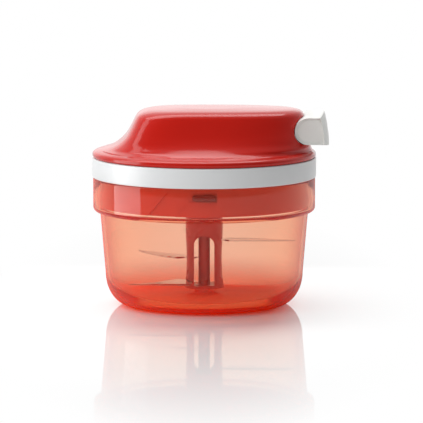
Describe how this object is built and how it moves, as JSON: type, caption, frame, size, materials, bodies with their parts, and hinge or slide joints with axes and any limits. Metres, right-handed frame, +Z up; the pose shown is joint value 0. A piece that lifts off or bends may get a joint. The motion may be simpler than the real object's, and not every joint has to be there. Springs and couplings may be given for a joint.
{
  "type": "food chopper",
  "caption": "Pull-cord food chopper: clear bowl with a turning bladed post, under a locking cover that holds a spring-wound cord drum.",
  "frame": {"origin": "middle of the bowl's flat base, on the axis the blades turn about", "axes": "+Z up along the blades' axis, +X towards the pull grip, -Y the side that faces the camera in the picture"},
  "size_m": [0.1322, 0.125, 0.1105],
  "materials": {
    "clear_coral_plastic": "clear, polished",
    "red_plastic": "glossy",
    "white_plastic": "satin",
    "grip_plastic": "satin",
    "inner_plastic": "as moulded",
    "steel": "bright stainless",
    "bronze": "sintered, oiled",
    "cord": "braided nylon"
  },
  "bodies": {
    "bowl": {"bowl": "clear_coral_plastic", "pivot_pin": "steel"},
    "axle": {"drum_axle": "steel"},
    "cover": {"top_cover": "red_plastic", "trim_ring": "white_plastic", "base_plate": "red_plastic", "base_screw_front_left": "steel", "base_screw_front_right": "steel", "base_screw_back_right": "steel", "base_screw_back_left": "steel", "shaft_bush": "bronze", "spring_housing": "inner_plastic", "housing_screw_1": "steel", "housing_screw_2": "steel", "housing_screw_3": "steel", "cord_eyelet": "steel", "recoil_spring": "steel", "wave_spring": "steel", "drum_washer": "steel", "drum_screw": "steel"},
    "drum": {"cord_drum": "inner_plastic", "cord_winding": "cord"},
    "driver": {"clutch_driver": "inner_plastic"},
    "pull": {"pull_handle": "grip_plastic", "handle_plug": "grip_plastic", "cord_knot": "cord", "cord_run": "cord"},
    "blades": {"blade_post": "red_plastic", "upper_blade": "steel", "middle_blade": "steel", "lower_blade": "steel"}
  },
  "joints": [
    {"name": "cover_lift", "type": "slide", "parent": "bowl", "child": "axle", "axis": [0, 0, 1], "range_m": [0, 0.12]},
    {"name": "cover_turn", "type": "hinge", "parent": "axle", "child": "cover", "pos_m": [0, 0, 0], "axis": [0, 0, 1], "range_deg": [0, 13]},
    {"name": "drum_spin", "type": "hinge", "parent": "cover", "child": "drum", "pos_m": [0, 0, 0], "axis": [0, 0, 1], "range_deg": [0, 955], "stiffness_Nm_per_rad": 0.004, "springref_deg": -286.48, "deforming": ["recoil_spring"]},
    {"name": "clutch_slip", "type": "slide", "parent": "drum", "child": "driver", "axis": [0, 0, -1], "range_m": [0, 0.0016], "stiffness_N_per_m": 400, "springref_m": -0.004, "deforming": ["wave_spring"]},
    {"name": "pull", "type": "slide", "parent": "cover", "child": "pull", "axis": [1, 0, 0], "range_m": [0, 0.2805], "deforming": ["cord_run"]},
    {"name": "blade_spin", "type": "hinge", "parent": "bowl", "child": "blades", "pos_m": [0, 0, 0], "axis": [0, 0, 1], "range_deg": [0, 956]}
  ],
  "couplings": [
    {"joint": "pull", "follows": "drum_spin", "m_per_rad": 0.0168},
    {"joint": "blade_spin", "follows": "drum_spin", "ratio": 1}
  ]
}
